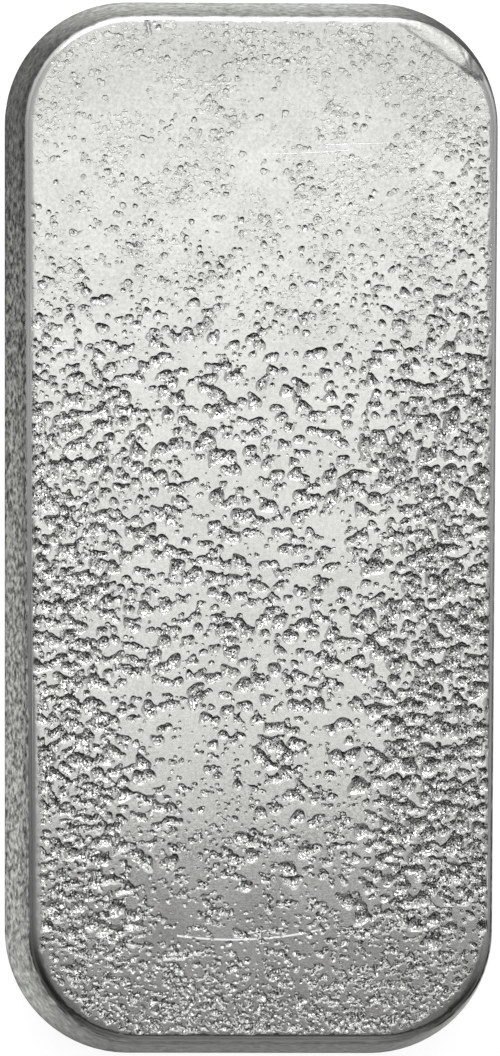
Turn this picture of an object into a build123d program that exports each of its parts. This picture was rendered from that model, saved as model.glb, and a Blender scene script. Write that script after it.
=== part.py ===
from build123d import *
import math
import os

# Cast silver ingot, in millimetres. It lies on its pour face at Z = 0, with the pitted face
# that the floor of the mould gave it on top. +Y runs along the bar towards its head.

# Plan at the widest level, just above the rounded rim of the pour face
LENGTH = 113.3
HEAD_WIDTH = 53.4
FOOT_WIDTH = 52.6
CORNER_RADIUS = 13.3

# Pour face to pitted face
THICKNESS = 16.9

# Draft of the mould's walls in degrees, which lets the casting drop out
DRAFT = 5.5

# Rim of the pour face, rounded by the surface tension of the molten metal
RIM_RADIUS = 2.0

# Shoulder between the walls and the pitted face, from the radius at the mould's floor
SHOULDER_RADIUS = 1.1

# Flat worn across the shoulder at one head corner: the way it faces in plan and its slope,
# in degrees, and how far it reaches into the pitted face
WEAR_FACING = 55.0
WEAR_SLOPE = 30.0
WEAR_BITE = 0.82

# Shallow chip out of the widest level of one side, measured to its middle from the head
CHIP_TO_HEAD = 20.6
CHIP_LENGTH = 3.6
CHIP_DEPTH = 0.27

os.makedirs("parts", exist_ok=True)

# The wall leans in by the draft, so before the rim is rounded it stands out past the
# widest level by a little at Z = 0
lean = math.radians(DRAFT)
rim_overhang = RIM_RADIUS * (math.tan(lean) + 1 / math.cos(lean) - 1)

# Drafted body
half_length = LENGTH / 2 + rim_overhang
half_head = HEAD_WIDTH / 2 + rim_overhang
half_foot = FOOT_WIDTH / 2 + rim_overhang
plan = make_face(
    Polyline(
        (half_head, half_length),
        (-half_head, half_length),
        (-half_foot, -half_length),
        (half_foot, -half_length),
        close=True,
    )
)
plan = fillet(plan.vertices(), CORNER_RADIUS + rim_overhang)
ingot = extrude(plan, THICKNESS, taper=DRAFT)

# Rounded rim below and shoulder above
ingot = fillet(ingot.edges().group_by(Axis.Z)[0], RIM_RADIUS)
ingot = fillet(ingot.edges().group_by(Axis.Z)[-1], SHOULDER_RADIUS)

# Worn flat: a sloping plane that starts on the pitted face, inside its corner, and falls
# outward through the shoulder
face_inset = THICKNESS * math.tan(lean) - rim_overhang
shoulder_reach = SHOULDER_RADIUS * math.tan((math.pi / 2 - lean) / 2)
face_corner_radius = CORNER_RADIUS - face_inset - shoulder_reach
wear_plane = (
    Pos(HEAD_WIDTH / 2 - CORNER_RADIUS, LENGTH / 2 - CORNER_RADIUS, THICKNESS)
    * Rot(0, 0, WEAR_FACING)
    * Pos(face_corner_radius - WEAR_BITE, 0, 0)
    * Rot(0, WEAR_SLOPE, 0)
)
wear = Box(LENGTH, LENGTH, THICKNESS, align=(Align.CENTER, Align.CENTER, Align.MIN))
ingot = ingot - wear_plane * wear

# Chip: a flat-bottomed notch with sloping ends, which the draft of the wall runs out of
chip_side = HEAD_WIDTH / 2 - (HEAD_WIDTH - FOOT_WIDTH) / 2 * CHIP_TO_HEAD / LENGTH
chip_floor = CHIP_LENGTH / 2 - CHIP_DEPTH
chip_mouth = CHIP_LENGTH / 2 + CHIP_DEPTH
chip_plan = make_face(
    Polyline(
        (chip_side - CHIP_DEPTH, chip_floor),
        (chip_side + CHIP_DEPTH, chip_mouth),
        (chip_side + CHIP_DEPTH, -chip_mouth),
        (chip_side - CHIP_DEPTH, -chip_floor),
        close=True,
    )
)
ingot = ingot - Pos(0, LENGTH / 2 - CHIP_TO_HEAD, 0) * extrude(chip_plan, THICKNESS)

export_step(ingot, "parts/ingot.step")
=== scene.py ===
import math

import bpy
import numpy as np
from mathutils import Matrix, Vector, noise
from mathutils.geometry import delaunay_2d_cdt


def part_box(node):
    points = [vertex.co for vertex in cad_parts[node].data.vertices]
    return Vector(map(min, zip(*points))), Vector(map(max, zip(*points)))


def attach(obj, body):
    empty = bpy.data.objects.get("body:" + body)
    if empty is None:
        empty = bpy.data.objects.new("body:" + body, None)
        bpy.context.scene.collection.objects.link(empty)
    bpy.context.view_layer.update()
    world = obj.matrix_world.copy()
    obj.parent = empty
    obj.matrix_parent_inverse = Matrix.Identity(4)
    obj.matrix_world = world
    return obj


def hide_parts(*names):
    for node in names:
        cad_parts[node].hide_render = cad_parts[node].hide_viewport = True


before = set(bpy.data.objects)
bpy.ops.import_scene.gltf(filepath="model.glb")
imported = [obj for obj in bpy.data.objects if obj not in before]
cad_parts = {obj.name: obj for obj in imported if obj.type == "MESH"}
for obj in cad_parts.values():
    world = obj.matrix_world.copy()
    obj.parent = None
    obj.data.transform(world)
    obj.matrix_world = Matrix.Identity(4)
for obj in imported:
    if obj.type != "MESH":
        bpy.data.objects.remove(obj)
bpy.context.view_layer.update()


# Ingot: one solid casting of silver, poured into an open mould and turned out on its pour face.
# The mould's floor has given the upper face its pits, and the draft of the mould its sloping walls.
# The mesh starts as a merged copy of the CAD solid, so every size of the body comes from there.
MM = 0.001
ingot_low, ingot_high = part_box("ingot")
face_level = ingot_high.z
half_width = ingot_high.x
half_length = ingot_high.y

bpy.ops.object.select_all(action="DESELECT")
ingot = bpy.data.objects.new("cast_ingot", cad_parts["ingot"].data.copy())
bpy.context.scene.collection.objects.link(ingot)
bpy.context.view_layer.objects.active = ingot
ingot.select_set(True)
ingot.data.materials.clear()
bpy.ops.object.mode_set(mode="EDIT")
bpy.ops.mesh.select_all(action="SELECT")
bpy.ops.mesh.remove_doubles(threshold=0.001 * MM)
bpy.ops.object.mode_set(mode="OBJECT")

# The walls of a hand-cast bar lean unevenly: in at the head, the foot and the low left, and out at the right.
# The lean starts above the widest level, so the bar keeps its length and width
HEAD_LEAN = 0.36 * MM
FOOT_LEAN = 0.30 * MM
LEFT_LEAN = 0.55 * MM
RIGHT_LEAN = 0.20 * MM
WIDEST_LEVEL = 2.2 * MM
points = np.zeros(len(ingot.data.vertices) * 3, np.float32)
ingot.data.vertices.foreach_get("co", points)
points = points.reshape(-1, 3)
rise = np.clip((points[:, 2] - WIDEST_LEVEL) / (face_level - WIDEST_LEVEL), 0.0, 1.0)
lean = np.where(points[:, 1] > 0.0, HEAD_LEAN, FOOT_LEAN)
points[:, 1] *= 1.0 - lean / half_length * rise
to_foot = np.clip(0.5 - points[:, 1] / (2 * half_length), 0.0, 1.0)
to_left = np.clip(-points[:, 0] / half_width, 0.0, 1.0)
to_right = np.clip(points[:, 0] / half_width, 0.0, 1.0)
points[:, 0] += (LEFT_LEAN * to_foot * to_left + RIGHT_LEAN * to_right) * rise
ingot.data.vertices.foreach_set("co", points.ravel())


def outer_edges():
    """The selected edges as pairs of vertices, with each one's ends in mm and outward direction in plan."""
    pairs = [tuple(e.vertices) for e in ingot.data.edges if e.select]
    ends = np.array([[ingot.data.vertices[v].co[:2] for v in pair] for pair in pairs]) / MM
    run = ends[:, 1] - ends[:, 0]
    out = np.column_stack([run[:, 1], -run[:, 0]]) / np.linalg.norm(run, axis=1)[:, None]
    facing = np.sign(np.sum(out * (ends[:, 0] - ends.mean((0, 1))), axis=1))
    return pairs, ends, out * facing[:, None]


def past(edges, x, y):
    """How far points lie outside an outline, in mm and negative inside, and the edge nearest to each."""
    shortest = np.full(np.shape(x), np.inf)
    nearest = np.zeros(np.shape(x), int)
    crossings = np.zeros(np.shape(x), int)
    for i, (start, end) in enumerate(edges[1]):
        run = end - start
        along = np.clip(((x - start[0]) * run[0] + (y - start[1]) * run[1]) / (run @ run), 0.0, 1.0)
        away = np.hypot(x - start[0] - along * run[0], y - start[1] - along * run[1])
        nearest = np.where(away < shortest, i, nearest)
        shortest = np.minimum(away, shortest)
        if run[1] != 0.0:
            level_with = (start[1] > y) != (end[1] > y)
            crossings += level_with & (x < start[0] + (y - start[1]) * run[0] / run[1])
    return np.where(crossings % 2 == 1, -shortest, shortest), nearest


# The outline of the flat is kept, then the flat and the top of the shoulder round it are cut off
SHOULDER_RADIUS = 1.1
CUT_BELOW_FACE = 0.2
SHOULDER_REACH = math.sqrt(SHOULDER_RADIUS ** 2 - (SHOULDER_RADIUS - CUT_BELOW_FACE) ** 2)
flat = [all(ingot.data.vertices[v].co.z > face_level - 0.002 * MM for v in p.vertices)
        for p in ingot.data.polygons]
bpy.ops.object.mode_set(mode="EDIT")
bpy.ops.mesh.select_mode(type="FACE")
bpy.ops.object.mode_set(mode="OBJECT")
ingot.data.polygons.foreach_set("select", flat)
bpy.ops.object.mode_set(mode="EDIT")
bpy.ops.mesh.region_to_loop()
bpy.ops.object.mode_set(mode="OBJECT")
flat_outline = outer_edges()
bpy.ops.object.mode_set(mode="EDIT")
bpy.ops.mesh.select_all(action="SELECT")
bpy.ops.mesh.bisect(plane_co=(0.0, 0.0, face_level - CUT_BELOW_FACE * MM), plane_no=(0.0, 0.0, 1.0),
                    clear_outer=True, threshold=0.0001 * MM)
bpy.ops.mesh.select_all(action="SELECT")
bpy.ops.mesh.region_to_loop()
bpy.ops.object.mode_set(mode="OBJECT")
cut_outline = outer_edges()

# The flat worn across one corner is the long edge of the outline that faces that way
WORN_FACING = math.radians(55.0)
WORN_SLOPE = math.radians(30.0)
worn_out = np.array([math.cos(WORN_FACING), math.sin(WORN_FACING)])
long_edge = np.linalg.norm(np.ptp(flat_outline[1], axis=1), axis=1) > 2.0
worn_edge = (flat_outline[2] @ worn_out > 0.99) & long_edge


def ramp(value, low, high):
    """Rises smoothly from 0 at low to 1 at high."""
    t = np.clip((value - low) / (high - low), 0.0, 1.0)
    return t * t * (3.0 - 2.0 * t)


def patches(x, y, size, seed):
    """Soft random patches about size mm long, from 0 to 1."""
    points = zip(np.ravel(x) / (1.4 * size), np.ravel(y) / size)
    values = [noise.noise(Vector((a, b, seed))) for a, b in points]
    return np.clip(0.5 + 0.8 * np.reshape(values, np.shape(x)), 0.0, 1.0)


def fall(x, y):
    """How far the surface falls below the face, and how far past the edge of the flat it lies, in mm."""
    off_flat, nearest = past(flat_outline, x, y)
    beyond = np.clip(off_flat, 0.0, SHOULDER_REACH)
    tightness = 2.0 + 3.0 * ramp(-y, 47.0, 52.0)
    rounded = CUT_BELOW_FACE * (beyond / SHOULDER_REACH) ** tightness
    return np.where(worn_edge[nearest], beyond * math.tan(WORN_SLOPE), rounded), off_flat


# Gas pits on a raster of the face, in mm: each is a dish with a sloping wall that is gentler towards the foot
RASTER = 20
raster_wide = int(2 * half_width / MM * RASTER) + 1
raster_long = int(2 * half_length / MM * RASTER) + 1
depth = np.zeros((raster_long, raster_wide))
inside = np.zeros((raster_long, raster_wide))
draw = np.random.default_rng(11)
rims, slopes, floors = [], [], []
pressed = {}
CROWD_CELL = 1.6


def press_pit(x, y, radius, deep, wall, gentle):
    """Sinks one lopsided dish into the raster, and notes the points that its rim, wall and floor need."""
    stretch, turn = draw.uniform(1.0, 1.5 if radius > 0.36 else 1.2), draw.normal(0.0, 0.7)
    lobe, lobe_turn = draw.uniform(0.0, 0.20), draw.uniform(0.0, 2 * math.pi)
    column = (x + half_width / MM) * RASTER
    row = (y + half_length / MM) * RASTER
    span = int(radius * stretch * 1.2 * RASTER) + 2
    c0, c1 = max(int(column) - span, 0), min(int(column) + span + 1, raster_wide)
    r0, r1 = max(int(row) - span, 0), min(int(row) + span + 1, raster_long)
    if c0 >= c1 or r0 >= r1:
        return
    dx = (np.arange(c0, c1) - column)[None, :] / RASTER
    dy = (np.arange(r0, r1) - row)[:, None] / RASTER
    along = (dx * math.cos(turn) + dy * math.sin(turn)) / stretch
    across = dy * math.cos(turn) - dx * math.sin(turn)
    reach = radius * (1.0 + lobe * np.sin(3 * np.arctan2(across, along) + lobe_turn))
    away = np.sqrt(along ** 2 + across ** 2) / reach
    dish = 0.85 * np.clip((1.0 - away) / wall, 0.0, 1.0) + 0.15 * np.clip(1.0 - away ** 2, 0.0, None)
    dish *= 1.0 - gentle * (0.5 - 0.5 * np.clip(dy / radius, -1.0, 1.0))
    depth[r0:r1, c0:c1] = np.maximum(depth[r0:r1, c0:c1], deep * dish)
    inside[r0:r1, c0:c1] = np.maximum(inside[r0:r1, c0:c1], np.clip((1.0 - away) / 0.3, 0.0, 1.0))

    spacing = min(0.13, 0.30 * radius)
    floor_share = 1.0 - wall
    rim_count = int(np.clip(2 * math.pi * radius / 0.21, 6, 20))
    floor_count = int(np.clip(2 * math.pi * radius * floor_share / 0.22, 4, 12))
    floors.append((x, y, spacing))
    half_way = floor_count if radius * wall > 0.35 else 0
    for ring, share, half_step, count in ((rims, 1.0 + 0.025 / radius, 0.0, rim_count),
                                          (slopes, floor_share, 0.5, floor_count),
                                          (slopes, 1.0 - wall / 2, 0.25, half_way)):
        angle = (np.arange(count) + half_step) * 2 * math.pi / count
        size = share * radius * (1.0 + lobe * np.sin(3 * angle + lobe_turn))
        a, b = size * np.cos(angle) * stretch, size * np.sin(angle)
        ring_x = x + a * math.cos(turn) - b * math.sin(turn)
        ring_y = y + a * math.sin(turn) + b * math.cos(turn)
        ring.extend(zip(ring_x, ring_y, [spacing] * count))


def room_for(x, y, radius, share):
    """True where no pit lies nearer than a share of the two radii together."""
    column, row = int(x // CROWD_CELL), int(y // CROWD_CELL)
    near = [p for i in (-1, 0, 1) for j in (-1, 0, 1) for p in pressed.get((column + i, row + j), ())]
    return all(math.hypot(x - px, y - py) > share * (radius + pr) for px, py, pr in near)


def pit_family(tries, chance, radii, links, room, deep, wall, gentle):
    """Draws seeds, keeps each by the chance at its place, and walks a chain of pits while there is room."""
    xs = draw.uniform(-half_width, half_width, tries) / MM
    ys = draw.uniform(-half_length, half_length, tries) / MM
    kept = draw.random(tries) < chance(xs, ys)
    for x, y in zip(xs[kept], ys[kept]):
        heading = draw.normal(0.1, 0.5) + math.pi * draw.integers(0, 2)
        vigour = 0.55 + 0.45 * float(ramp(-y, -36.0, -8.0))
        chain = []
        for _ in range(draw.integers(links[0], links[1] + 1)):
            radius = vigour * (radii[0] + (radii[1] - radii[0]) * draw.random() ** 1.6)
            if not room_for(x, y, radius, room):
                break
            chain.append((x, y, radius))
            heading += draw.normal(0.0, 0.5)
            x += radius * draw.uniform(0.9, 1.6) * math.cos(heading)
            y += radius * draw.uniform(0.9, 1.6) * math.sin(heading)
        for x, y, radius in chain:
            press_pit(x, y, radius, radius * draw.uniform(*deep), wall, draw.uniform(*gentle))
            pressed.setdefault((int(x // CROWD_CELL), int(y // CROWD_CELL)), []).append((x, y, radius))


def crumbled_left(x, y):
    """1 along the left edge of the face, where the pits run together, and 0 in its middle."""
    return ramp(-x, 10.0, 20.0) * ramp(-y, -26.0, 2.0) * ramp(y, -50.0, -36.0)


def crumbled_right(x, y):
    """1 along the right edge of the face, where the pits are largest, and 0 in its middle."""
    return ramp(x, 8.0, 18.0) * ramp(-y, -30.0, 0.0) * ramp(y, -47.0, -33.0)


def crumbled_edge(x, y):
    """1 in the outermost strip of the face's right side, where small pits start near the head."""
    return ramp(x, 18.5, 22.0) * ramp(-y, -46.0, -38.0) * ramp(y, 4.0, 14.0)


def chance_of_chain(x, y):
    """Pits strung together, all over the middle of the face."""
    middle = ramp(-y, -31.0, 10.0) * (0.2 + 0.8 * ramp(y, -28.0, -10.0)) * ramp(y, -46.0, -28.0)
    clumps = ramp(patches(x, y, 4.0, 3.0), 0.25, 0.75)
    return middle * (0.3 + 0.6 * clumps)


def chance_of_single(x, y):
    """Small pits that stand alone, fewest at the head."""
    clumps = ramp(patches(x, y, 3.0, 9.0), 0.2, 0.8)
    return (0.10 + 0.75 * ramp(-y, -40.0, -14.0)) * (0.3 + 0.7 * clumps)


def chance_of_speck(x, y):
    """Small pits above the foot."""
    clumps = ramp(patches(x, y, 3.0, 4.0), 0.30, 0.70)
    return 0.55 * ramp(-y, 20.0, 34.0) * ramp(y, -48.0, -42.0) * (0.2 + 0.8 * clumps)


def chance_of_first(x, y):
    """The first pits below the smooth head."""
    clumps = ramp(patches(x, y, 3.0, 6.0), 0.25, 0.75)
    return ramp(-y, -46.0, -26.0) * ramp(y, 10.0, 22.0) * (0.35 + 0.65 * clumps)


def chance_of_ring(x, y):
    """Shallow pits with a sharp rim, at the head and thickest towards its right and its edge."""
    clumps = ramp(patches(x, y, 4.0, 7.0), 0.35, 0.75)
    near_edge = 0.5 * ramp(y, 49.0, 52.5)
    to_right = 0.30 + 0.70 * ramp(x, 0.0, 18.0)
    return ramp(y, 12.0, 28.0) * np.clip(0.10 + near_edge + clumps * to_right, 0.0, 1.0)


def chance_of_sugar(x, y):
    """Grains that crowd like sugar at the foot, further up along both sides."""
    clumps = ramp(patches(x, y, 2.5, 5.0), 0.30, 0.70)
    sparse = 0.25 * ramp(-y, 20.0, 34.0) * clumps
    edges = 8.0 * ramp(np.abs(x), 6.0, 20.0)
    dense = ramp(-y + edges, 41.0, 53.0) * (0.25 + 0.75 * np.maximum(clumps, ramp(-y, 45.0, 52.0)))
    return np.maximum(sparse, dense)


# Each family: tries, where, radii in mm, pits in a chain, room between them as a share of the radii,
# depth and width of the wall as shares of the radius, and how much gentler the side towards the foot is
pit_family(9000, crumbled_right, (0.45, 0.95), (1, 1), 0.64, (0.62, 0.85), 0.6, (0.3, 0.9))
pit_family(9000, crumbled_left, (0.42, 0.84), (1, 1), 0.62, (0.52, 0.72), 0.55, (0.3, 0.9))
pit_family(9000, crumbled_edge, (0.30, 0.66), (1, 1), 0.64, (0.50, 0.70), 0.5, (0.3, 0.9))
pit_family(12000, chance_of_chain, (0.26, 0.84), (1, 4), 0.84, (0.50, 0.70), 0.5, (0.5, 1.0))
pit_family(9000, crumbled_left, (0.24, 0.42), (1, 1), 0.72, (0.45, 0.65), 0.5, (0.4, 1.0))
pit_family(10000, crumbled_right, (0.24, 0.44), (1, 1), 0.70, (0.50, 0.70), 0.55, (0.4, 0.9))
pit_family(7000, chance_of_speck, (0.18, 0.44), (1, 2), 0.85, (0.45, 0.62), 0.5, (0.5, 1.0))
pit_family(4000, chance_of_first, (0.28, 0.60), (1, 1), 1.0, (0.50, 0.70), 0.5, (0.4, 0.9))
pit_family(60000, chance_of_sugar, (0.17, 0.42), (1, 1), 0.68, (0.32, 0.48), 0.35, (0.4, 0.8))
pit_family(8000, chance_of_single, (0.13, 0.30), (1, 1), 1.0, (0.34, 0.55), 0.4, (0.3, 0.9))
pit_family(8000, chance_of_ring, (0.30, 0.72), (1, 3), 0.80, (0.13, 0.20), 0.25, (0.2, 0.9))
pit_family(6000, chance_of_sugar, (0.11, 0.18), (1, 1), 0.85, (0.30, 0.45), 0.3, (0.4, 0.8))

# A nick in the edge of the head, of a few dents side by side
NICK = ((-12.2, 54.5, 0.24), (-12.15, 54.15, 0.27), (-12.1, 53.8, 0.27), (-12.05, 53.45, 0.25),
        (-11.95, 53.1, 0.22), (-11.4, 54.2, 0.25), (-11.0, 53.7, 0.30))
for x, y, radius in NICK:
    press_pit(x, y, radius, 0.8 * radius, 0.6, 0.1)


def sample(field, x, y):
    """Reads a raster of the face at points in mm, between its cells."""
    column = np.clip((x + half_width / MM) * RASTER, 0, raster_wide - 1.001)
    row = np.clip((y + half_length / MM) * RASTER, 0, raster_long - 1.001)
    c, r = column.astype(int), row.astype(int)
    fc, fr = column - c, row - r
    top = field[r, c] * (1 - fc) + field[r, c + 1] * fc
    bottom = field[r + 1, c] * (1 - fc) + field[r + 1, c + 1] * fc
    return top * (1 - fr) + bottom * fr


# Rows of points that round the top of the shoulder, from the edge of the flat outwards
SHOULDER_ROWS = (0.0, 0.2, 0.42)
ROW_SPACING = 0.4
rows = []
for ends, out in zip(flat_outline[1], flat_outline[2]):
    steps = np.arange(0.0, 1.0, ROW_SPACING / max(np.linalg.norm(ends[1] - ends[0]), ROW_SPACING))
    for outward in SHOULDER_ROWS:
        rows.extend((*(ends[0] + (ends[1] - ends[0]) * t + out * outward), 0.2) for t in steps)

# The pitted face: the points of the pits, thinned where they crowd, joined to the edge that the cut left
SPACING = 0.13
SHALLOW = 0.02
NEAR_CUT = 0.05
taken = {}
chosen = []
rims = np.array(rims)
on_land = sample(depth, rims[:, 0], rims[:, 1]) < SHALLOW
for ring in (rims[on_land], rims[~on_land], rows, slopes, floors):
    for x, y, spacing in ring:
        column, row = int(x // SPACING), int(y // SPACING)
        near = [q for i in (-1, 0, 1) for j in (-1, 0, 1) for q in taken.get((column + i, row + j), ())]
        if all((q[0] - x) ** 2 + (q[1] - y) ** 2 > spacing ** 2 for q in near):
            taken.setdefault((column, row), []).append((x, y))
            chosen.append((x, y))
chosen = np.array(chosen)
chosen = chosen[past(cut_outline, chosen[:, 0], chosen[:, 1])[0] < -NEAR_CUT]
cut_verts = sorted({v for pair in cut_outline[0] for v in pair})
cut_index = {v: i for i, v in enumerate(cut_verts)}
cut_loop = [ingot.data.vertices[v].co.xy / MM for v in cut_verts]
cut_links = [(cut_index[a], cut_index[b]) for a, b in cut_outline[0]]
knit = delaunay_2d_cdt(cut_loop + [Vector(q) for q in chosen], cut_links, [], 1, 1e-5)
flat_points = np.array([tuple(v) for v in knit[0]])
x, y = flat_points.T
from_cut = -past(cut_outline, x, y)[0]
fallen, outward = fall(x, y)
fallen[from_cut < 0.01] = CUT_BELOW_FACE
sunk = sample(depth, x, y) * ramp(from_cut, 0.02, 0.14)
pit_share = sample(inside, x, y) * ramp(from_cut, 0.02, 0.14)
sunk += draw.normal(0.0, 0.015, len(sunk)) * ramp(pit_share, 0.6, 1.0)
pit_share[sunk < SHALLOW] = 0.0
sunk[sunk < SHALLOW] = 0.0

# A smooth band without pits is left inside the edge at the foot, its corners and the low left side
foot_corners = 0.75 * ramp(np.abs(x) - y, 65.0, 72.0)
low_left = 0.55 * ramp(-x, 18.0, 22.0) * ramp(-y, 0.0, 40.0)
along_foot = 0.25 * ramp(-y, 50.5, 52.5)
smooth_band = np.maximum(np.maximum(foot_corners, low_left), along_foot)
on_face = 1.0 - ramp(outward + smooth_band + 0.3 * (patches(x, y, 0.8, 2.0) - 0.5), 0.05, 0.40)
sunk *= 1.0 - (smooth_band > 0.2) * (1.0 - on_face)
sunk[sunk < SHALLOW] = 0.0
pit_share[sunk == 0.0] = 0.0
face_points = np.column_stack([flat_points * MM, face_level - (fallen + sunk) * MM])
cast_level = face_level - fallen * MM
body_level = np.array([v.co.z for v in ingot.data.vertices])
ingot.data.attributes.new("cast_level", "FLOAT", "POINT").data.foreach_set("value", body_level)
face_mesh = bpy.data.meshes.new("pitted_face")
face_mesh.from_pydata(face_points.tolist(), [], knit[2])
for name, values in (("in_pit", pit_share), ("cast_level", cast_level), ("on_face", on_face)):
    face_mesh.attributes.new(name, "FLOAT", "POINT").data.foreach_set("value", values.astype(np.float32))
pitted_face = bpy.data.objects.new("pitted_face", face_mesh)
bpy.context.scene.collection.objects.link(pitted_face)
pitted_face.select_set(True)
ingot.select_set(True)
bpy.context.view_layer.objects.active = ingot
bpy.ops.object.join()
bpy.ops.object.mode_set(mode="EDIT")
bpy.ops.mesh.select_all(action="SELECT")
bpy.ops.mesh.remove_doubles(threshold=0.002 * MM)
bpy.ops.mesh.normals_make_consistent(inside=False)
bpy.ops.object.mode_set(mode="OBJECT")
bpy.ops.object.shade_smooth_by_angle(angle=math.radians(25.0))
level = np.array([min(ingot.data.vertices[v].co.z for v in p.vertices) for p in ingot.data.polygons])
smooth = level < face_level - SHALLOW / 4 * MM
ingot.data.polygons.foreach_set("use_smooth", smooth)
ingot.data.update()


def linear(hex_colour):
    """A hex sRGB colour as linear red, green, blue and alpha."""
    channels = [int(hex_colour[i:i + 2], 16) / 255 for i in (0, 2, 4)]
    return [c / 12.92 if c <= 0.04045 else ((c + 0.055) / 1.055) ** 2.4 for c in channels] + [1.0]


def add_node(tree, kind, links=None, **settings):
    """Adds a node. Settings name its properties, and links fill its sockets with values or other sockets."""
    node = tree.nodes.new(kind)
    for name, value in settings.items():
        setattr(node, name, value)
    for socket, value in (links or {}).items():
        if isinstance(value, bpy.types.NodeSocket):
            tree.links.new(value, node.inputs[socket])
        else:
            node.inputs[socket].default_value = value
    return node


# Cast silver: bright and mirror-like on the face, dull and grainy on the walls that touched the mould.
# The tones of the walls and the shoulder also hold painted light and shade
silver = bpy.data.materials.new("cast_silver")
silver.use_nodes = True
tree = silver.node_tree
tree.nodes.clear()
place = add_node(tree, "ShaderNodeTexCoord").outputs["Object"]
axes = add_node(tree, "ShaderNodeSeparateXYZ", {0: place})
on_face = add_node(tree, "ShaderNodeAttribute", attribute_name="on_face").outputs["Fac"]
pit = add_node(tree, "ShaderNodeAttribute", attribute_name="in_pit").outputs["Fac"]
cast_level = add_node(tree, "ShaderNodeAttribute", attribute_name="cast_level").outputs["Fac"]
along_bar = add_node(tree, "ShaderNodeMapRange", {
    "Value": axes.outputs["Y"], "From Min": -half_length, "From Max": half_length})
up_bar = add_node(tree, "ShaderNodeMapRange", {"Value": axes.outputs["Z"], "From Max": face_level})
headward = add_node(tree, "ShaderNodeMapRange", {
    "Value": axes.outputs["Y"], "From Min": 8 * MM, "From Max": 36 * MM}, interpolation_type="SMOOTHSTEP")

# Skin of the walls: grains about 0.7 mm across, drawn out down the wall. Its tone is the duller skin with
# painted light:
# painted lighter at the head and foot where light falls, and painted shade towards the bottom as a contact
# shadow.
# A painted line of shade runs high along the sides, and painted shade darkens the right corner of the head
skin_place = add_node(tree, "ShaderNodeVectorMath", {0: place, 1: (1.0, 1.0, 0.5)}, operation="MULTIPLY")
skin_grain = add_node(tree, "ShaderNodeTexNoise", {
    "Vector": skin_place.outputs[0], "Scale": 1 / (0.7 * MM), "Detail": 2.0, "Roughness": 0.6})
grainy = add_node(tree, "ShaderNodeValToRGB", {0: along_bar.outputs[0]})
stops = grainy.color_ramp.elements
stops[0].position, stops[0].color = 0.02, (0.3, 0.3, 0.3, 1.0)
stops[1].position, stops[1].color = 0.90, (0.4, 0.4, 0.4, 1.0)
for position, share in ((0.16, 1.0), (0.75, 1.0)):
    stops.new(position).color = (share, share, share, 1.0)
skin_contrast = add_node(tree, "ShaderNodeMix", {
    "Factor": grainy.outputs[0], 2: 0.5, 3: skin_grain.outputs[0]})
skin_streak = add_node(tree, "ShaderNodeMapRange", {
    "Value": skin_contrast.outputs[0], "From Min": 0.34, "From Max": 0.66, "To Min": 0.45, "To Max": 1.55})
# Painted shade: the skin is darker towards the bottom of the wall as a painted contact shadow, and a little
# darker at its top
painted_wall_shade = add_node(tree, "ShaderNodeValToRGB", {0: up_bar.outputs[0]})
stops = painted_wall_shade.color_ramp.elements
stops[0].position, stops[0].color = 0.05, (0.6, 0.6, 0.6, 1.0)
stops[1].position, stops[1].color = 1.0, (0.86, 0.86, 0.86, 1.0)
for position, share in ((0.20, 0.92), (0.30, 1.0)):
    stops.new(position).color = (share, share, share, 1.0)
# Painted light and shade along the bar: the skin is painted lighter at the head and foot, and darker just
# short of the head
skin_tone_and_painted_light = add_node(tree, "ShaderNodeValToRGB", {0: along_bar.outputs[0]})
stops = skin_tone_and_painted_light.color_ramp.elements
stops[0].position, stops[0].color = 0.0, linear("989997")
stops[1].position, stops[1].color = 1.0, linear("CACBC8")
for position, hex_colour in ((0.05, "C6C7C4"), (0.10, "C0C1BE"), (0.50, "AAABA8"), (0.89, "868785"),
                             (0.955, "858684"), (0.985, "AEAFAC")):
    stops.new(position).color = linear(hex_colour)
# Painted shade: a darker line high along the sides, left out at the head
painted_wall_line_shade = add_node(tree, "ShaderNodeValToRGB", {0: up_bar.outputs[0]})
stops = painted_wall_line_shade.color_ramp.elements
stops[0].position, stops[0].color = 0.72, (1.0, 1.0, 1.0, 1.0)
stops[1].position, stops[1].color = 0.97, (1.0, 1.0, 1.0, 1.0)
stops.new(0.87).color = (0.76, 0.76, 0.76, 1.0)
off_head = add_node(tree, "ShaderNodeMapRange", {
    "Value": axes.outputs["Y"], "From Min": 46 * MM, "From Max": 53 * MM, "To Min": 1.0, "To Max": 0.0})
painted_wall_line_shade = add_node(tree, "ShaderNodeMix", {"Factor": off_head.outputs[0], 2: 1.0, 3: painted_wall_line_shade.outputs[0]})
painted_wall_shade = add_node(tree, "ShaderNodeMath", {
    0: painted_wall_shade.outputs[0], 1: painted_wall_line_shade.outputs[0]}, operation="MULTIPLY")
# Painted shade at the right corner of the head
to_head_corner = add_node(tree, "ShaderNodeMath", {
    0: axes.outputs["X"], 1: axes.outputs["Y"]}, operation="ADD")
painted_head_corner_shade = add_node(tree, "ShaderNodeMapRange", {
    "Value": to_head_corner.outputs[0], "From Min": 68 * MM, "From Max": 74 * MM,
    "To Min": 1.0, "To Max": 0.5})
painted_wall_shade = add_node(tree, "ShaderNodeMath", {
    0: painted_wall_shade.outputs[0], 1: painted_head_corner_shade.outputs[0]}, operation="MULTIPLY")
skin_grain_and_shade = add_node(tree, "ShaderNodeMath", {0: skin_streak.outputs[0], 1: painted_wall_shade.outputs[0]},
                      operation="MULTIPLY")
skin_colour_and_painted_light = add_node(tree, "ShaderNodeVectorMath", {0: skin_tone_and_painted_light.outputs[0], 1: skin_grain_and_shade.outputs[0]},
                       operation="MULTIPLY")
skin_waves = add_node(tree, "ShaderNodeTexNoise", {"Vector": place, "Scale": 1 / (1.4 * MM), "Detail": 2.0})
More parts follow.
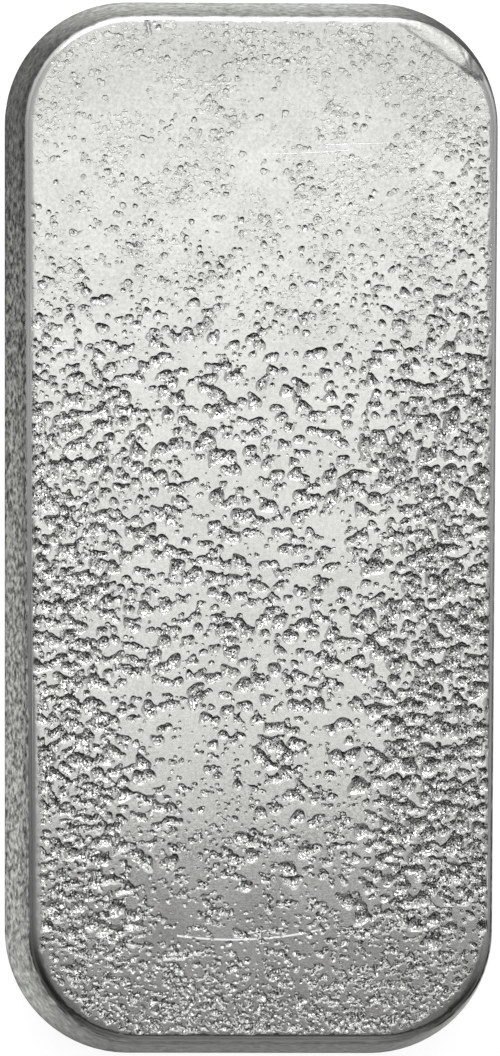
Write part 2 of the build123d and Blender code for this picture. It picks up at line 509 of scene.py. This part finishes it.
skin_limit = add_node(tree, "ShaderNodeMath", {
    0: skin_waves.outputs[0], 1: 1.2 * MM, 2: cast_level}, operation="MULTIPLY_ADD")
head_edge = add_node(tree, "ShaderNodeMapRange", {
    "Value": axes.outputs["Y"], "From Min": 52 * MM, "From Max": 54 * MM,
    "To Min": 0.0, "To Max": -0.30 * MM})
skin_limit = add_node(tree, "ShaderNodeMath", {
    0: skin_limit.outputs[0], 1: head_edge.outputs[0]}, operation="ADD")
skin_edge = add_node(tree, "ShaderNodeMapRange", {
    "Value": skin_limit.outputs[0], "From Min": face_level - 0.55 * MM, "From Max": face_level + 0.05 * MM},
    interpolation_type="SMOOTHSTEP").outputs[0]

# Shoulder: dull where it leaves the wall and bright where it meets the face. Along the bar the dull part
# holds painted light:
# a painted highlight at the head, and painted shade towards the foot, along the foot's edge and in the foot's
# corners
# Painted light along the bar: the low shoulder is painted bright at the head and darkest near the foot
low_shoulder_and_painted_light = add_node(tree, "ShaderNodeValToRGB", {0: along_bar.outputs[0]})
stops = low_shoulder_and_painted_light.color_ramp.elements
stops[0].position, stops[0].color = 0.02, linear("8E8F8D")
stops[1].position, stops[1].color = 0.99, linear("D8D8D5")
for position, hex_colour in ((0.10, "636462"), (0.35, "747573"), (0.60, "929391"), (0.88, "949593")):
    stops.new(position).color = linear(hex_colour)
up_shoulder = add_node(tree, "ShaderNodeMapRange", {
    "Value": cast_level, "From Min": face_level - 0.45 * MM, "From Max": face_level - 0.06 * MM},
    interpolation_type="SMOOTHSTEP")
sideways = add_node(tree, "ShaderNodeMath", {0: axes.outputs["X"]}, operation="ABSOLUTE")
# Painted shade: the shoulder darkens towards the corners of the foot and along the foot's edge
to_foot_corner = add_node(tree, "ShaderNodeMath", {
    0: sideways.outputs[0], 1: axes.outputs["Y"]}, operation="SUBTRACT")
painted_foot_corner_shade = add_node(tree, "ShaderNodeMapRange", {
    "Value": to_foot_corner.outputs[0], "From Min": 65 * MM, "From Max": 74 * MM,
    "To Min": 1.0, "To Max": 0.30})
even_shoulder = add_node(tree, "ShaderNodeMix", {
    "Factor": up_shoulder.outputs[0], 6: low_shoulder_and_painted_light.outputs[0], 7: linear("D8D8D5")}, data_type="RGBA")
painted_foot_edge_shade = add_node(tree, "ShaderNodeMapRange", {
    "Value": axes.outputs["Y"], "From Min": -51.5 * MM, "From Max": -52.8 * MM,
    "To Min": 1.0, "To Max": 0.82})
painted_low_shade = add_node(tree, "ShaderNodeMath", {
    0: painted_foot_corner_shade.outputs[0], 1: painted_foot_edge_shade.outputs[0]}, operation="MINIMUM")
shoulder_tone_and_shade = add_node(tree, "ShaderNodeVectorMath", {0: even_shoulder.outputs[2], 1: painted_low_shade.outputs[0]},
                         operation="MULTIPLY")

# Scratches: hair lines across the land. Middle, half length, slope, bend and half width of each, in mm.
# At the head all have one tilt, and at the foot all rise by the same height
SCRATCHES = (
    (-0.5, -43.95, 8.2, 0.054, 0.0119, 0.12),
    (0.8, -43.05, 1.9, 0.147, 0.0, 0.08),
    (-7.6, -45.55, 2.2, 0.0, 0.0, 0.24),
    (-9.0, -46.1, 1.2, 0.02, 0.0, 0.20),
    (3.3, 45.4, 0.9, -1.0, 0.0, 0.06),
    (4.9, 40.3, 4.8, 0.05, 0.004, 0.05),
    (10.6, 41.3, 3.6, 0.03, 0.0, 0.05),
    (8.4, 39.4, 3.2, 0.16, 0.0, 0.04),
)
HEAD_TILT = 0.42
FOOT_RISE = 0.0144
scratched = 0.0
scratch_height = 0.0
for middle_x, middle_y, half, slope, bend, width in SCRATCHES:
    across = add_node(tree, "ShaderNodeMath", {0: axes.outputs["X"], 1: middle_x * MM}, operation="SUBTRACT")
    bent = add_node(tree, "ShaderNodeMath", {
        0: across.outputs[0], 1: bend / MM, 2: slope}, operation="MULTIPLY_ADD")
    line = add_node(tree, "ShaderNodeMath", {0: bent.outputs[0], 1: across.outputs[0], 2: middle_y * MM},
                    operation="MULTIPLY_ADD")
    off_line = add_node(tree, "ShaderNodeMath", {0: axes.outputs["Y"], 1: line.outputs[0], 2: width * MM},
                        operation="COMPARE")
    in_length = add_node(tree, "ShaderNodeMath", {
        0: across.outputs[0], 1: 0.0, 2: half * MM}, operation="COMPARE")
    hair = add_node(tree, "ShaderNodeMath", {
        0: off_line.outputs[0], 1: in_length.outputs[0]}, operation="MULTIPLY")
    scratched = add_node(tree, "ShaderNodeMath", {
        0: hair.outputs[0], 1: scratched}, operation="MAXIMUM").outputs[0]
    below = add_node(tree, "ShaderNodeMath", {0: line.outputs[0], 1: axes.outputs["Y"]}, operation="SUBTRACT")
    tilt = HEAD_TILT if middle_y > 0.0 else FOOT_RISE / width
    below = add_node(tree, "ShaderNodeMath", {0: below.outputs[0], 1: tilt / MM}, operation="MULTIPLY")
    scratch_height = add_node(tree, "ShaderNodeMath", {
        0: below.outputs[0], 1: hair.outputs[0], 2: scratch_height}, operation="MULTIPLY_ADD").outputs[0]
etched = add_node(tree, "ShaderNodeTexNoise", {"Vector": place, "Scale": 1 / (0.35 * MM), "Detail": 2.0})
scratch_share = add_node(tree, "ShaderNodeMapRange", {
    "Value": etched.outputs[0], "From Min": 0.35, "From Max": 0.65, "To Min": 0.8, "To Max": 1.0})
scratched = add_node(tree, "ShaderNodeMath", {
    0: scratched, 1: scratch_share.outputs[0]}, operation="MULTIPLY").outputs[0]

# Face: pale land with faint clouds, and an etched grain that is strongest at the head
clouds = add_node(tree, "ShaderNodeTexNoise", {"Vector": place, "Scale": 1 / (6.0 * MM), "Detail": 3.0})
etched_share = add_node(tree, "ShaderNodeMapRange", {
    "Value": headward.outputs[0], "To Min": 0.6, "To Max": 0.85})
etched_here = add_node(tree, "ShaderNodeMix", {
    "Factor": etched_share.outputs[0], 2: 0.5, 3: etched.outputs[0]})
mottle = add_node(tree, "ShaderNodeMath", {0: clouds.outputs[0], 1: 0.5, 2: etched_here.outputs[0]},
                  operation="MULTIPLY_ADD")
land_tone = add_node(tree, "ShaderNodeMapRange", {
    "Value": mottle.outputs[0], "From Min": 0.48, "From Max": 1.02})
land_colour = add_node(tree, "ShaderNodeMix", {
    "Factor": land_tone.outputs[0], 6: linear("D2D2CE"), 7: linear("F8F8F4")}, data_type="RGBA")
# The land is darker towards the head, and the pits are darker towards the right
head_darkening = add_node(tree, "ShaderNodeMapRange", {
    "Value": axes.outputs["Y"], "From Min": 40 * MM, "From Max": 50 * MM, "To Min": 1.0, "To Max": 0.88})
darker_head_land = add_node(tree, "ShaderNodeVectorMath", {0: land_colour.outputs[2], 1: head_darkening.outputs[0]},
                       operation="MULTIPLY")
right_darkening = add_node(tree, "ShaderNodeMapRange", {
    "Value": axes.outputs["X"], "From Min": 10 * MM, "From Max": 20 * MM, "To Min": 1.0, "To Max": 0.82})
scratched_land = add_node(tree, "ShaderNodeMix", {
    "Factor": scratched, 6: darker_head_land.outputs[0], 7: linear("FFFFFF")}, data_type="RGBA")
darker_right_pit = add_node(tree, "ShaderNodeVectorMath", {0: linear("F0F1ED")[:3], 1: right_darkening.outputs[0]},
                      operation="MULTIPLY")
pit_colour = add_node(tree, "ShaderNodeMix", {
    "Factor": pit, 6: scratched_land.outputs[2], 7: darker_right_pit.outputs[0]}, data_type="RGBA")
# Painted shade: the walls of the pits are darkened as if shade lay in them, most at the head
painted_rim_shade = add_node(tree, "ShaderNodeMath", {0: pit, 1: 0.4, 2: 0.3}, operation="COMPARE")
rim_shade_most = add_node(tree, "ShaderNodeMapRange", {
    "Value": headward.outputs[0], "To Min": 0.92, "To Max": 0.70})
rim_shade_share = add_node(tree, "ShaderNodeMix", {
    "Factor": painted_rim_shade.outputs[0], 2: 1.0, 3: rim_shade_most.outputs[0]})
face_tone = add_node(tree, "ShaderNodeVectorMath", {0: pit_colour.outputs[2], 1: rim_shade_share.outputs[0]},
                     operation="MULTIPLY")

# The worn flat shows where the surface lies within a hair of the plane that was rubbed away
worn_normal = Vector((*(worn_out * math.sin(WORN_SLOPE)), math.cos(WORN_SLOPE)))
worn_point = Vector((*(flat_outline[1][worn_edge][0, 0] * MM), face_level))
worn_level = add_node(tree, "ShaderNodeVectorMath", {0: place, 1: worn_normal}, operation="DOT_PRODUCT")
worn_waves = add_node(tree, "ShaderNodeTexNoise", {"Vector": place, "Scale": 1 / (0.9 * MM), "Detail": 2.0})
worn_ragged = add_node(tree, "ShaderNodeMath", {
    0: worn_waves.outputs[0], 1: 0.36 * MM, 2: worn_level.outputs["Value"]}, operation="MULTIPLY_ADD")
worn_limit = worn_normal.dot(worn_point)
worn_flat = add_node(tree, "ShaderNodeMapRange", {
    "Value": worn_ragged.outputs[0], "From Min": worn_limit - 0.06 * MM,
    "From Max": worn_limit + 0.02 * MM}).outputs[0]
rubbed = add_node(tree, "ShaderNodeMix", {
    "Factor": etched.outputs[0], 6: linear("A8A8A5"), 7: linear("CCCCC9")}, data_type="RGBA")
worn_along = add_node(tree, "ShaderNodeVectorMath", {0: place, 1: (-worn_out[1], worn_out[0], 0.0)},
                      operation="DOT_PRODUCT")
worn_end = add_node(tree, "ShaderNodeMath", {
    0: worn_waves.outputs[0], 1: 1.2 * MM, 2: worn_along.outputs["Value"]}, operation="MULTIPLY_ADD")
worn_middle = float(np.array([-worn_out[1], worn_out[0]]) @ flat_outline[1][worn_edge][0].mean(0)) * MM
worn_lens = add_node(tree, "ShaderNodeMapRange", {
    "Value": worn_end.outputs[0], "From Min": worn_middle - 2.4 * MM, "From Max": worn_middle - 2.0 * MM})
worn_tone = add_node(tree, "ShaderNodeMix", {
    "Factor": worn_lens.outputs[0], 6: linear("858684"), 7: rubbed.outputs[2]}, data_type="RGBA")

# Each finish over the one before it: shoulder, face, skin and worn flat
shoulder_colour = add_node(tree, "ShaderNodeMix", {
    "Factor": on_face, 6: shoulder_tone_and_shade.outputs[0], 7: face_tone.outputs[0]}, data_type="RGBA")
edge_colour = add_node(tree, "ShaderNodeMix", {
    "Factor": skin_edge, 6: skin_colour_and_painted_light.outputs[0], 7: shoulder_colour.outputs[2]}, data_type="RGBA")
colour = add_node(tree, "ShaderNodeMix", {
    "Factor": worn_flat, 6: edge_colour.outputs[2], 7: worn_tone.outputs[2]}, data_type="RGBA")
shoulder_tint = add_node(tree, "ShaderNodeMix", {
    "Factor": on_face, 6: shoulder_tone_and_shade.outputs[0], 7: linear("FFFFFF")}, data_type="RGBA")
edge_tint = add_node(tree, "ShaderNodeMix", {
    "Factor": skin_edge, 6: skin_colour_and_painted_light.outputs[0], 7: shoulder_tint.outputs[2]}, data_type="RGBA")
land_rough = add_node(tree, "ShaderNodeMapRange", {
    "Value": clouds.outputs[0], "From Min": 0.3, "From Max": 0.7, "To Min": 0.11, "To Max": 0.17})
scratch_rough = add_node(tree, "ShaderNodeMix", {"Factor": scratched, 2: land_rough.outputs[0], 3: 0.28})
face_rough = add_node(tree, "ShaderNodeMix", {"Factor": pit, 2: scratch_rough.outputs[0], 3: 0.16})
shoulder_rough = add_node(tree, "ShaderNodeMix", {"Factor": on_face, 2: 0.28, 3: face_rough.outputs[0]})
skin_rough = add_node(tree, "ShaderNodeMix", {"Factor": skin_edge, 2: 0.42, 3: shoulder_rough.outputs[0]})
rough = add_node(tree, "ShaderNodeMix", {"Factor": worn_flat, 2: skin_rough.outputs[0], 3: 0.45})

# Crystal facets on the floors of the pits, each tilted its own way. They are drawn 0.17 mm across,
# because finer ones would not show
facets = add_node(tree, "ShaderNodeTexVoronoi", {"Vector": place, "Scale": 1 / (0.17 * MM)})
facet_tilt = add_node(tree, "ShaderNodeVectorMath", {0: facets.outputs["Color"], 1: (-0.5, -0.5, -0.5)},
                      operation="ADD")
from_middle = add_node(tree, "ShaderNodeVectorMath", {
    0: place, 1: facets.outputs["Position"]}, operation="SUBTRACT")
facet_height = add_node(tree, "ShaderNodeVectorMath", {0: from_middle.outputs[0], 1: facet_tilt.outputs[0]},
                        operation="DOT_PRODUCT")
facet_zone = add_node(tree, "ShaderNodeValToRGB", {0: along_bar.outputs[0]})
stops = facet_zone.color_ramp.elements
stops[0].position, stops[0].color = 0.08, (0.9, 0.9, 0.9, 1.0)
stops[1].position, stops[1].color = 0.85, (0.35, 0.35, 0.35, 1.0)
for position, share in ((0.25, 0.95), (0.40, 1.0), (0.60, 1.0)):
    stops.new(position).color = (share, share, share, 1.0)
facet_most = add_node(tree, "ShaderNodeMath", {0: facet_zone.outputs[0], 1: 1.15 / MM}, operation="MULTIPLY")
facet_share = add_node(tree, "ShaderNodeMapRange", {
    "Value": pit, "From Min": 0.3, "From Max": 1.0, "To Min": 0.02 / MM, "To Max": facet_most.outputs[0]})
facet_height = add_node(tree, "ShaderNodeMath", {0: facet_height.outputs["Value"], 1: facet_share.outputs[0]},
                        operation="MULTIPLY")

# Pits too small for the mesh: ragged rings and etched spots at the head, in clumps and thickest at its right
warp = add_node(tree, "ShaderNodeTexNoise", {"Vector": place, "Scale": 1 / (0.6 * MM), "Detail": 1.0})
warped = add_node(tree, "ShaderNodeVectorMath", {0: warp.outputs["Color"], 1: (0.6 * MM,) * 3, 2: place},
                  operation="MULTIPLY_ADD")
specks = add_node(tree, "ShaderNodeTexVoronoi", {"Vector": warped.outputs[0], "Scale": 1 / (0.8 * MM)},
                  voronoi_dimensions="2D")
speck_draw = add_node(tree, "ShaderNodeSeparateColor", {0: specks.outputs["Color"]})
speck_clumps = add_node(tree, "ShaderNodeTexNoise", {"Vector": place, "Scale": 1 / (5.0 * MM), "Detail": 1.0})
speck_zone = add_node(tree, "ShaderNodeMapRange", {
    "Value": headward.outputs[0], "To Min": 1.05, "To Max": 0.85})
speck_right = add_node(tree, "ShaderNodeMapRange", {
    "Value": axes.outputs["X"], "From Min": 6 * MM, "From Max": 24 * MM, "To Min": 0.0, "To Max": -0.30})
speck_none = add_node(tree, "ShaderNodeMath", {0: speck_clumps.outputs[0], 1: -0.9, 2: speck_zone.outputs[0]},
                      operation="MULTIPLY_ADD")
speck_none = add_node(tree, "ShaderNodeMath", {
    0: speck_none.outputs[0], 1: speck_right.outputs[0]}, operation="ADD")
speck_reach = add_node(tree, "ShaderNodeMapRange", {
    "Value": speck_draw.outputs[0], "From Min": speck_none.outputs[0], "From Max": 1.0,
    "To Min": 0.001, "To Max": 0.32})
speck_away = add_node(tree, "ShaderNodeMath", {0: specks.outputs["Distance"], 1: speck_reach.outputs[0]},
                      operation="DIVIDE")
speck_power = add_node(tree, "ShaderNodeMath", {0: speck_away.outputs[0], 1: 6.0}, operation="POWER")
speck_bowl = add_node(tree, "ShaderNodeMapRange", {
    "Value": speck_power.outputs[0], "From Min": 1.0, "From Max": 0.0, "To Min": 0.0, "To Max": -0.16})
specks_here = add_node(tree, "ShaderNodeMath", {0: speck_bowl.outputs[0], 1: speck_reach.outputs[0]},
                       operation="MULTIPLY")
etching = add_node(tree, "ShaderNodeTexNoise", {"Vector": place, "Scale": 1 / (0.5 * MM), "Detail": 2.0})
etch_limit = add_node(tree, "ShaderNodeMath", {
    0: speck_none.outputs[0], 1: 0.30, 2: 0.47}, operation="MULTIPLY_ADD")
etch_end = add_node(tree, "ShaderNodeMath", {0: etch_limit.outputs[0], 1: 0.04}, operation="ADD")
etch_pit = add_node(tree, "ShaderNodeMapRange", {
    "Value": etching.outputs[0], "From Min": etch_limit.outputs[0], "From Max": etch_end.outputs[0],
    "To Min": 0.0, "To Max": -0.04})
small_pits = add_node(tree, "ShaderNodeMath", {
    0: etch_pit.outputs[0], 1: specks_here.outputs[0]}, operation="ADD")
small_pits = add_node(tree, "ShaderNodeMath", {0: small_pits.outputs[0], 1: on_face}, operation="MULTIPLY")
small_pits = add_node(tree, "ShaderNodeMath", {
    0: small_pits.outputs[0], 1: headward.outputs[0]}, operation="MULTIPLY")
clump_share = add_node(tree, "ShaderNodeMapRange", {
    "Value": speck_clumps.outputs[0], "From Min": 0.38, "From Max": 0.56, "To Min": 0.08, "To Max": 0.65})
small_pits = add_node(tree, "ShaderNodeMath", {
    0: small_pits.outputs[0], 1: clump_share.outputs[0]}, operation="MULTIPLY")
pit_height = add_node(tree, "ShaderNodeMath", {0: facet_height.outputs[0], 1: small_pits.outputs[0]},
                      operation="ADD")
face_height = add_node(tree, "ShaderNodeMath", {0: scratch_height, 1: pit_height.outputs[0]},
                       operation="ADD")
skin_height = add_node(tree, "ShaderNodeMath", {0: skin_contrast.outputs[0], 1: 0.10}, operation="MULTIPLY")
height = add_node(tree, "ShaderNodeMix", {
    "Factor": skin_edge, 2: skin_height.outputs[0], 3: face_height.outputs[0]})
relief = add_node(tree, "ShaderNodeBump", {"Height": height.outputs[0], "Distance": MM})
shader = add_node(tree, "ShaderNodeBsdfPrincipled", {
    "Metallic": 1.0, "Roughness": rough.outputs[0], "Base Color": colour.outputs[2],
    "Specular Tint": edge_tint.outputs[2], "Normal": relief.outputs[0]})
add_node(tree, "ShaderNodeOutputMaterial", {"Surface": shader.outputs["BSDF"]})
ingot.data.materials.append(silver)
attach(ingot, "root")
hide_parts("ingot")


# Floor: a plain sheet of white paper that the ingot lies on.
# It shows white, and the ingot's shadow stays on it.
FLOOR_SIZE = 12.0
bpy.ops.object.select_all(action="DESELECT")
bpy.ops.mesh.primitive_plane_add(size=FLOOR_SIZE, location=(0.0, 0.0, ingot_low.z))
floor = bpy.context.object
floor.name = "floor"
paper = bpy.data.materials.new("white_paper")
paper.use_nodes = True
tree = paper.node_tree
tree.nodes.clear()
path = add_node(tree, "ShaderNodeLightPath")
seen = add_node(tree, "ShaderNodeMath", {0: path.outputs["Is Camera Ray"], 1: path.outputs["Is Glossy Ray"]},
                operation="MAXIMUM")
seen = add_node(tree, "ShaderNodeMath", {0: seen.outputs[0], 1: path.outputs["Is Transmission Ray"]},
                operation="MAXIMUM")
glow = add_node(tree, "ShaderNodeMath", {0: seen.outputs[0], 1: 0.88}, operation="MULTIPLY")
sheet = add_node(tree, "ShaderNodeBsdfPrincipled", {
    "Base Color": linear("ABABA9"), "Roughness": 0.9, "Emission Color": linear("FFFFFF"),
    "Emission Strength": glow.outputs[0]})
add_node(tree, "ShaderNodeOutputMaterial", {"Surface": sheet.outputs["BSDF"]})
floor.data.materials.append(paper)


# Light: soft panels overhead and behind the head of the bar, with dim sides and a dark front.
# The silver mirrors the bright panels on its face, and the dark front in the pit walls that turn to it.
def panel(name, place, target, wide, high, radiance):
    """A soft rectangular light that faces a target, as bright to the eye as its radiance."""
    bpy.ops.object.light_add(type="AREA", location=place)
    light = bpy.context.object
    light.name = name
    light.data.shape = "RECTANGLE"
    light.data.size = wide
    light.data.size_y = high
    light.data.energy = radiance * math.pi * wide * high
    light.rotation_euler = (Vector(target) - Vector(place)).to_track_quat("-Z", "Y").to_euler()
    light.visible_camera = False
    return light


CEILING = 0.27
SIDE = 0.14
MID_LEVEL = CEILING / 2
panel("overhead_panel", (0.0, 0.3025, CEILING), (0.0, 0.3025, 0.0), 2 * SIDE, 0.595, 0.98)
panel("middle_panel", (0.0, -0.0165, CEILING), (0.0, -0.0165, 0.0), 2 * SIDE, 0.043, 0.89)
panel("front_panel", (0.0, -0.058, CEILING), (0.0, -0.058, 0.0), 2 * SIDE, 0.04, 0.28)
panel("head_panel", (0.02, 0.60, 0.19), (0.02, 0.0, 0.19), 1.0, 0.38, 2.6)
panel("left_panel", (-SIDE, 0.297, MID_LEVEL), (0.0, 0.297, MID_LEVEL), 0.606, CEILING, 0.55)
panel("right_panel", (SIDE, 0.25, MID_LEVEL), (0.0, 0.25, MID_LEVEL), 0.70, CEILING, 0.46)
panel("left_front_panel", (-SIDE, -0.041, MID_LEVEL), (0.0, -0.041, MID_LEVEL), 0.07, CEILING, 0.2)
panel("foot_strip", (0.0, -0.085, 0.035), (0.0, -0.055, 0.016), 0.08, 0.03, 0.26)

world = bpy.data.worlds.new("studio")
world.use_nodes = True
backdrop = world.node_tree.nodes["Background"]
backdrop.inputs["Color"].default_value = linear("FFFFFF")
backdrop.inputs["Strength"].default_value = 0.02
bpy.context.scene.world = world


# Camera: it looks down on the bar from 2 m above and a little to its left, so that the left wall shows.
# The long lens takes in the whole bar with a narrow margin, and keeps its sides almost parallel.
PHOTO_HIGH = 1056
BAR_LONG_IN_PHOTO = 1050
CAMERA_HEIGHT = 2.0
CAMERA_LEFT = 0.135
CAMERA_HEADWARD = 0.012
CAMERA_ROLL = 0.2
aim = Vector((0.0, 0.0, 2.0 * MM))
eye = Vector((-CAMERA_LEFT, CAMERA_HEADWARD, face_level + CAMERA_HEIGHT))
bpy.ops.object.camera_add(location=eye)
camera = bpy.context.object
camera.data.sensor_width = 36.0
seen_high = 2 * half_length * PHOTO_HIGH / BAR_LONG_IN_PHOTO
camera.data.lens = camera.data.sensor_width * (aim - eye).length / seen_high
back = (eye - aim).normalized()
right = Vector((0.0, 1.0, 0.0)).cross(back).normalized()
look = Matrix((right, back.cross(right), back)).transposed().to_4x4()
roll = Matrix.Rotation(math.radians(CAMERA_ROLL), 4, "Z")
camera.matrix_world = Matrix.Translation(eye) @ look @ roll
camera.data.clip_end = 100.0
bpy.context.scene.camera = camera
bpy.context.scene.view_settings.view_transform = "Standard"
